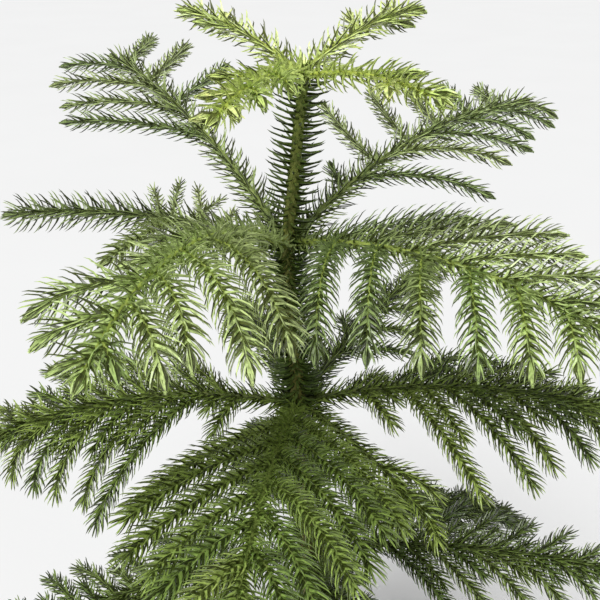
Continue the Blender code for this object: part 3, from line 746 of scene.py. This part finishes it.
def add_bough_tube(pile, bough, axis, palette, material):
    """A bough from inside the trunk to its tip, ridged along its needles' feet and swollen at its foot."""
    length = bough.length / MM_PER_M
    start = (trunk_radius(axis[0][2]) - BOUGH_SINK) / length
    shares = start + (1 - tip_reach(palette) / length - start) * np.linspace(0, 1, BOUGH_RINGS)
    centres, ways = sampled(axis, shares)
    swell = 1 + COLLAR_SWELL * np.exp(-(shares - start) * length / COLLAR_REACH)
    turns = shares[:, None] * length / BOUGH_COATS[palette].pitch * GOLDEN_TURN
    angles = round_angles(BOUGH_SIDES)
    (first, first_turn), (second, second_turn) = RIDGE_WAVES
    waves = np.sin(first * angles + turns * first_turn), np.cos(second * angles + turns * second_turn)
    relief = RIDGE * waves[0] * waves[1]
    radii = (bough_radius(bough, shares) * swell)[:, None] + relief
    pile.add(*tube(tube_grid(centres, ways, radii, BOUGH_SIDES)), material)


def add_twig_tube(pile, twig, palette, material):
    shares = np.linspace(0, 1 - tip_reach(palette) / curve_length(twig), TWIG_RINGS)
    centres, ways = sampled(twig, shares)
    radii = np.linspace(TWIG_RADIUS, TWIG_TIP_RADIUS, TWIG_RINGS)
    pile.add(*tube(tube_grid(centres, ways, radii, TWIG_SIDES)), material)


def seed_of(name):
    """A number for each name, the same in every run."""
    return int.from_bytes(name.encode(), "little") % 2**32


def palette_of(tier, name):
    return BOUGH_PALETTES.get(name, tier.growth)


def twig_palette(tier, name, side):
    return "faint" if name == FAN_BOUGH and side == RIGHT else palette_of(tier, name)


def clothe_bough(pile, tier, palettes, bough, name, axis, twigs):
    """The needles of one bough and its twigs. Those near the trunk have the greens of their tier."""
    def first_green(palette, share):
        """The number of the first green of a stem of this palette at this share of the bough."""
        inner = share < INNER_SHARE and palette != "faint"
        return GREENS * palettes.index(tier.growth if inner else palette)

    chance = np.random.default_rng(seed_of(name))
    palette = palette_of(tier, name)
    foot = (trunk_radius(axis[0][2]) + NEEDLES_FROM) / (bough.length / MM_PER_M)
    radii = (bough_radius(bough, 0), bough_radius(bough, 1))
    coat = BOUGH_COATS[palette]
    clothe(pile, axis, radii, coat, foot, INNER_SHARE, chance, first_green(palette, 0))
    clothe_stem(pile, palette, axis, radii, coat, INNER_SHARE, chance, first_green(palette, 1))
    for (place, side), twig in twigs.items():
        palette = twig_palette(tier, name, side)
        green = first_green(palette, twig_share(bough, place)) + int(chance.integers(GREENS))
        foot = radii[0] * TWIG_BARE / curve_length(twig)
        ends = TWIG_RADIUS, TWIG_TIP_RADIUS
        clothe_stem(pile, palette, twig, ends, TWIG_COATS[palette], foot, chance, green)


def clothe_stem(pile, palette, curve, radii, coat, start, chance, green):
    """The needles of one stem from share start on, and the bud at its tip where its palette has buds."""
    end = 1 - tip_reach(palette) / curve_length(curve)
    bare = BUD_BARE / curve_length(curve) if palette in BUD_SIZES else 0
    clothe(pile, curve, radii, coat, start, end - bare, chance, green)
    if palette in BUD_SIZES:
        add_bud(pile, curve, end, radii[1], BUD_SIZES[palette], chance, green)


def dress_tier(tier, boughs):
    """One tier's boughs, twigs and needles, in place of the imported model's limbs and masses. The needles make
    two pieces, of every other bough each."""
    limbs, stems, coats = Pile(), Pile(), [Pile(), Pile()]
    names = [name for _, _, name, _, _ in boughs]
    palettes = sorted({twig_palette(tier, name, side) for name in names for side in (LEFT, RIGHT)})
    greens = needle_materials(palettes)
    for number, (_, bough, name, axis, twigs) in enumerate(boughs):
        palette = palette_of(tier, name)
        add_bough_tube(limbs, bough, axis, palette, palettes.index(palette))
        for (_, side), twig in twigs.items():
            palette = twig_palette(tier, name, side)
            add_twig_tube(stems, twig, palette, palettes.index(palette))
        clothe_bough(coats[number % len(coats)], tier, palettes, bough, name, axis, twigs)
    woods = [stem_material(f"stems_{tier.name}_{palette}", *STEM_COLOURS[palette]) for palette in palettes]
    limbs_piece = add_mesh(f"boughs_{tier.name}", limbs, woods)
    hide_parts(*(f"bough_{name}" for name in names))
    add_mesh(f"twigs_{tier.name}", stems, woods)
    for number, pile in enumerate(coats):
        piece = add_mesh(f"needles_{tier.name}_{number + 1}", pile, greens, smooth=False)
        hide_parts(*(f"foliage_{name}" for name in names[number::len(coats)]))


TRUNK_RINGS, TRUNK_SIDES = 620, 40
TRUNK_SINK = 0.002              # how deep the trunk's foot lies in the soil
TRUNK_BUD, BUD_CLOSING = 0.005, 0.96    # the height of the bud at its tip, and how far that closes
WHORL_SWELL, WHORL_REACH = 0.0011, 0.006
# the relief of the bark: scales where two sets of slanting rows cross, each (number round the trunk, radians
# a metre of height), and cracks where upright and level ones cross, which wander
TRUNK_RIDGE = 0.00035
SCALE_SHARE, SCALE_ROWS = 0.7, ((5, 900), (8, -560))
CRACK_SHARE = 0.5
UPRIGHT_CRACKS = (3, 2.0, 95)   # number round the trunk, how far they wander, radians a metre of that
LEVEL_CRACKS = (340, 3, 2)      # radians a metre, how far they wander, waves of that round the trunk


def trunk_curve(heights):
    xs, zs = zip(*TRUNK_STATIONS)
    return np.stack([np.interp(heights, zs, xs), np.zeros_like(heights), heights], -1)


def bark_relief(angles, heights):
    """How far the bark stands out at these angles round the trunk and these heights."""
    (first, first_rise), (second, second_rise) = SCALE_ROWS
    scales = np.sin(first * angles + heights * first_rise) * np.sin(second * angles + heights * second_rise)
    number, wander, bends = UPRIGHT_CRACKS
    upright = np.sin(number * angles + wander * np.sin(heights * bends))
    rise, wander, bends = LEVEL_CRACKS
    level = np.sin(heights * rise + wander * np.sin(bends * angles))
    return TRUNK_RIDGE * (SCALE_SHARE * scales + CRACK_SHARE * (upright * level))


def add_trunk():
    """The trunk with a relief of worn needle feet, a swelling at each tier and its bud."""
    top = TRUNK_STATIONS[-1][1] + TRUNK_BUD
    heights = np.linspace(SOIL_TOP - TRUNK_SINK, top, TRUNK_RINGS)
    centres = trunk_curve(heights)
    radii = trunk_radius(np.maximum(heights, SOIL_TOP))
    for _, z in TRUNK_STATIONS[1:-1]:
        radii = radii + WHORL_SWELL * np.exp(-((heights - z) / WHORL_REACH) ** 2)
    bud = np.clip((heights - TRUNK_STATIONS[-1][1]) / TRUNK_BUD, 0, 1)
    radii = radii * np.sqrt(1 - bud * BUD_CLOSING)
    relief = bark_relief(round_angles(TRUNK_SIDES), heights[:, None]) * (1 - bud[:, None])
    ways = np.tile(Z_AXIS, (len(heights), 1))
    pile = Pile()
    pile.add(*tube(tube_grid(centres, ways, radii[:, None] + relief, TRUNK_SIDES)))
    piece = add_mesh("trunk_bark", pile, [trunk_material()])
    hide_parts("trunk")


# (lowest height, highest height, how many times further apart than TRUNK_COAT says) of each stretch's needles
TRUNK_COATS = ((0.548, 0.629, 1.15), (0.446, 0.548, 0.55), (0.336, 0.446, 1.0), (0.240, 0.336, 2.4))
LEADER_TUFT = Coat(0.00020, 0.0070, 84, 44, 0.0065, 50, 20, 0.00095)
TUFT_DEPTH = 0.003              # how far below the top tier the tuft starts
TUFT_TIP_RADIUS = 0.0008
COAT_POINTS, TUFT_POINTS = 40, 20       # in the curves that they follow
TRUNK_SEED, TUFT_SEED = 100, 9


def add_trunk_needles():
    """Needles standing straight out of the trunk, few near its foot, in two of the old greens by turns, and
    the tuft round its bud in the first of the new ones."""
    pile = Pile()
    greens = needle_materials(["old", "new"])
    for number, (low, high, thin) in enumerate(TRUNK_COATS):
        curve = trunk_curve(np.linspace(low, high, COAT_POINTS))
        chance = np.random.default_rng(TRUNK_SEED + number)
        radii = (trunk_radius(low), trunk_radius(high))
        clothe(pile, curve, radii, TRUNK_COAT, 0, 1, chance, number % 2, thin, parting=0)
    top = TRUNK_STATIONS[-1][1]
    curve = trunk_curve(np.linspace(top - TUFT_DEPTH, top + TRUNK_BUD, TUFT_POINTS))
    radii = (TRUNK_TOP_RADIUS, TUFT_TIP_RADIUS)
    clothe(pile, curve, radii, LEADER_TUFT, 0, 1, np.random.default_rng(TUFT_SEED), GREENS, parting=0)
    piece = add_mesh("needles_trunk", pile, greens, smooth=False)
    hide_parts("needle_sleeve_upper", "needle_sleeve_middle", "leader_tuft")


# ---- pot and soil

POT_HEIGHT = 0.140
POT_FOOT_RADIUS = 0.052
POT_SHOULDER_RADIUS = 0.070
POT_RIM_RADIUS = 0.0775
POT_RIM_HEIGHT = 0.026
POT_WALL = 0.006
POT_EDGE = 0.0015
POT_CENTRE = 0.0001             # the radius of the two flat ends of its outline, which close it
POT_HOLLOW_DEPTH, POT_HOLLOW_RADII = 0.004, (0.020, 0.022)      # under its foot: radii at the top and below
POT_MOUTH_FLARE = 0.0025        # how much wider the mouth is at its top than at the shoulder
POT_CLAY_TOP, POT_NARROWING = SOIL_TOP - 0.03, 0.004    # where its inside ends, and how much narrower there
POT_SIDES = 144
POT_SHARP = 50                  # edges that turn by more than this stay sharp
ROUNDING_STEPS, LONGEST_CUT = 5, 0.45   # of a corner, the latter as a share of either side


def rounded(corners, radius):
    """The corners of a profile of (radius, height), each cut back by this length and turned smoothly."""
    corners = np.array(corners, float)
    profile = [corners[0]]
    for before, corner, after in zip(corners, corners[1:], corners[2:]):
        back, on = before - corner, after - corner
        cut = min(radius, LONGEST_CUT * np.linalg.norm(back), LONGEST_CUT * np.linalg.norm(on))
        start, end = corner + unit(back) * cut, corner + unit(on) * cut
        for t in np.linspace(0, 1, ROUNDING_STEPS):
            profile.append((1 - t) ** 2 * start + 2 * t * (1 - t) * corner + t**2 * end)
    profile.append(corners[-1])
    return np.array(profile)


def add_pot():
    shoulder = POT_HEIGHT - POT_RIM_HEIGHT
    inside = POT_SHOULDER_RADIUS - POT_WALL
    profile = rounded((
        (POT_CENTRE, POT_HOLLOW_DEPTH), (POT_HOLLOW_RADII[0], POT_HOLLOW_DEPTH), (POT_HOLLOW_RADII[1], 0),
        (POT_FOOT_RADIUS, 0), (POT_SHOULDER_RADIUS, shoulder), (POT_RIM_RADIUS - POT_EDGE, shoulder),
        (POT_RIM_RADIUS, POT_HEIGHT), (inside + POT_MOUTH_FLARE, POT_HEIGHT), (inside, shoulder),
        (inside - POT_NARROWING, POT_CLAY_TOP), (POT_CENTRE, POT_CLAY_TOP),
    ), POT_EDGE)
    angles = round_angles(POT_SIDES)
    circle = np.stack([np.cos(angles), np.sin(angles), np.zeros(POT_SIDES)], -1)
    grid = profile[:, :1, None] * circle[None] + profile[:, 1:, None] * Z_AXIS
    pile = Pile()
    pile.add(*tube(grid))
    piece = add_mesh("pot_clay", pile, [clay_material()])
    piece.data.set_sharp_from_angle(angle=math.radians(POT_SHARP))
    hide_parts("pot")


SOIL_RINGS, SOIL_SIDES = 46, 150
SOIL_OVERLAP = 0.0008           # how far the soil reaches into the pot's wall
SOIL_INNERMOST = 0.002          # the share of its radius that its innermost ring has
SKIRT_SHARE, SKIRT_DEPTH = 0.97, 0.02   # the foot of the soil: its share of the radius, and how far down
SOIL_DIP = 0.0012               # how far the soil between its lumps lies below SOIL_TOP
MOUND_HEIGHT, MOUND_SPREAD = 0.0022, 0.0009     # the spread is in square metres
# (height, radians a metre in x, radians a metre in y)
BROAD_LUMPS, SLANTING_LUMPS, FINE_LUMPS = (0.0008, 310, 270), (0.0005, 760, 520), (0.0003, 1900, 2100)
LUMP_SHIFT = 1.3                # radians
CRUMBS = 900
CRUMB_SIZES = (0.0008, 0.0026)
CRUMB_REACH, CRUMB_START = 0.96, 0.02   # of the soil's radius, and of the area within that
CRUMB_SPREAD, CRUMB_FLATNESS = (0.6, 1.0), 0.6
CRUMB_SEED = 31
SOIL_COLOURS = {
    "dark": ((0.012, 0.008, 0.006), (0.050, 0.032, 0.022)),
    "brown": ((0.035, 0.020, 0.012), (0.110, 0.068, 0.042)),
    "pale": ((0.11, 0.085, 0.06), (0.26, 0.21, 0.16)),
}


def soil_height(x, y):
    """A gentle mound with lumps in it."""
    mound = MOUND_HEIGHT * np.exp(-(x**2 + y**2) / MOUND_SPREAD)
    height, waves_x, waves_y = BROAD_LUMPS
    broad = height * np.sin(x * waves_x + LUMP_SHIFT) * np.sin(y * waves_y)
    height, waves_x, waves_y = SLANTING_LUMPS
    slanting = height * np.sin(x * waves_x + y * waves_y)
    height, waves_x, waves_y = FINE_LUMPS
    fine = height * np.sin(x * waves_x) * np.sin(y * waves_y)
    return SOIL_TOP - SOIL_DIP + mound + (broad + slanting) + fine


def add_soil():
    """Lumpy potting soil with crumbs and flakes of bark lying on it."""
    edge = POT_SHOULDER_RADIUS - POT_WALL + SOIL_OVERLAP
    angles = round_angles(SOIL_SIDES)
    radii = edge * np.linspace(SOIL_INNERMOST, 1, SOIL_RINGS)[::-1, None]
    x, y = radii * np.cos(angles), radii * np.sin(angles)
    top = np.stack([x, y, soil_height(x, y)], -1)
    skirt = top[:1] * (SKIRT_SHARE, SKIRT_SHARE, 1) - (0, 0, SKIRT_DEPTH)
    pile = Pile()
    pile.add(*tube(np.concatenate([skirt, top])))
    chance = np.random.default_rng(CRUMB_SEED)
    for _ in range(CRUMBS):
        reach = edge * CRUMB_REACH * math.sqrt(chance.uniform(CRUMB_START, 1))
        turn = chance.uniform(0, 2 * math.pi)
        x, y = reach * math.cos(turn), reach * math.sin(turn)
        centre = np.array((x, y, soil_height(x, y)))
        lump = crumb(centre, chance.uniform(*CRUMB_SIZES), chance)
        pile.add(*lump, int(chance.integers(len(SOIL_COLOURS))))
    earths = [soil_material(f"soil_{name}", colours) for name, colours in SOIL_COLOURS.items()]
    piece = add_mesh("soil_crumbs", pile, earths)
    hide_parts("soil")


def crumb(centre, size, chance):
    """A rough flat lump of about this half width, with eight faces."""
    corners = np.concatenate([np.eye(3), -np.eye(3)])
    spread = chance.uniform(*CRUMB_SPREAD, (len(corners), 1)) * size
    points = corners * spread * (1, 1, CRUMB_FLATNESS)
    tumble, _ = np.linalg.qr(chance.normal(size=(3, 3)))
    if np.linalg.det(tumble) < 0:
        tumble[:, 0] *= -1
    triangles = []
    for a in (0, 3):
        for b in (1, 4):
            for c in (2, 5):
                odd = (a > 0) ^ (b > 1) ^ (c > 2)
                triangles.append((a, c, b) if odd else (a, b, c))
    return centre + points @ tumble.T, np.array(triangles)


# ---- camera, light and floor

FRONT = -90                     # the azimuth that the plant is looked at from
CAMERA_TARGET = np.array((-0.008, 0.0, 0.509))
CAMERA_DISTANCE = 0.4675
CAMERA_DOWN = 25.5
CAMERA_LENS, CAMERA_SENSOR = 51, 36     # millimetres
CAMERA_NEAR = 0.01
FLOOR_HALF = 14.0
WORLD_STRENGTH = 0.23
SUN_AZIMUTH, SUN_ELEVATION, SUN_SPREAD, SUN_STRENGTH = -112, 58, 36, 3.03


def add_camera():
    camera = bpy.data.objects.new("camera", bpy.data.cameras.new("camera"))
    bpy.context.scene.collection.objects.link(camera)
    camera.location = CAMERA_TARGET + heading(FRONT, CAMERA_DOWN) * CAMERA_DISTANCE
    camera.rotation_euler = (math.radians(90 - CAMERA_DOWN), 0, 0)
    camera.data.lens = CAMERA_LENS
    camera.data.sensor_width = CAMERA_SENSOR
    camera.data.clip_start = CAMERA_NEAR
    bpy.context.scene.camera = camera


def add_sun(name, azimuth, elevation, strength):
    """A broad soft light that shines from this direction, evenly over the floor."""
    light = bpy.data.lights.new(name, "SUN")
    light.angle = math.radians(SUN_SPREAD)
    light.energy = strength
    lamp = bpy.data.objects.new(name, light)
    bpy.context.scene.collection.objects.link(lamp)
    lamp.rotation_euler = (math.radians(90 - elevation), 0, math.radians(azimuth + 90))


def add_stage():
    world = bpy.data.worlds.new("studio")
    world.use_nodes = True
    world.node_tree.nodes["Background"].inputs["Color"].default_value = (1.0, 1.0, 1.0, 1)
    world.node_tree.nodes["Background"].inputs["Strength"].default_value = WORLD_STRENGTH
    bpy.context.scene.world = world
    bpy.context.scene.view_settings.view_transform = "Standard"
    add_sun("key", SUN_AZIMUTH, SUN_ELEVATION, SUN_STRENGTH)
    mesh = bpy.data.meshes.new("floor")
    h = FLOOR_HALF
    mesh.from_pydata([(-h, -h, 0), (h, -h, 0), (h, h, 0), (-h, h, 0)], [], [(0, 1, 2, 3)])
    mesh.materials.append(floor_material())
    floor = bpy.data.objects.new("floor", mesh)
    bpy.context.scene.collection.objects.link(floor)


def main():
    add_camera()
    add_stage()
    add_pot()
    add_soil()
    add_trunk()
    add_trunk_needles()
    grown = grow()
    add_finer_twigs(grown)
    for tier in TIERS:
        dress_tier(tier, [found for found in grown if found[0] is tier])


main()
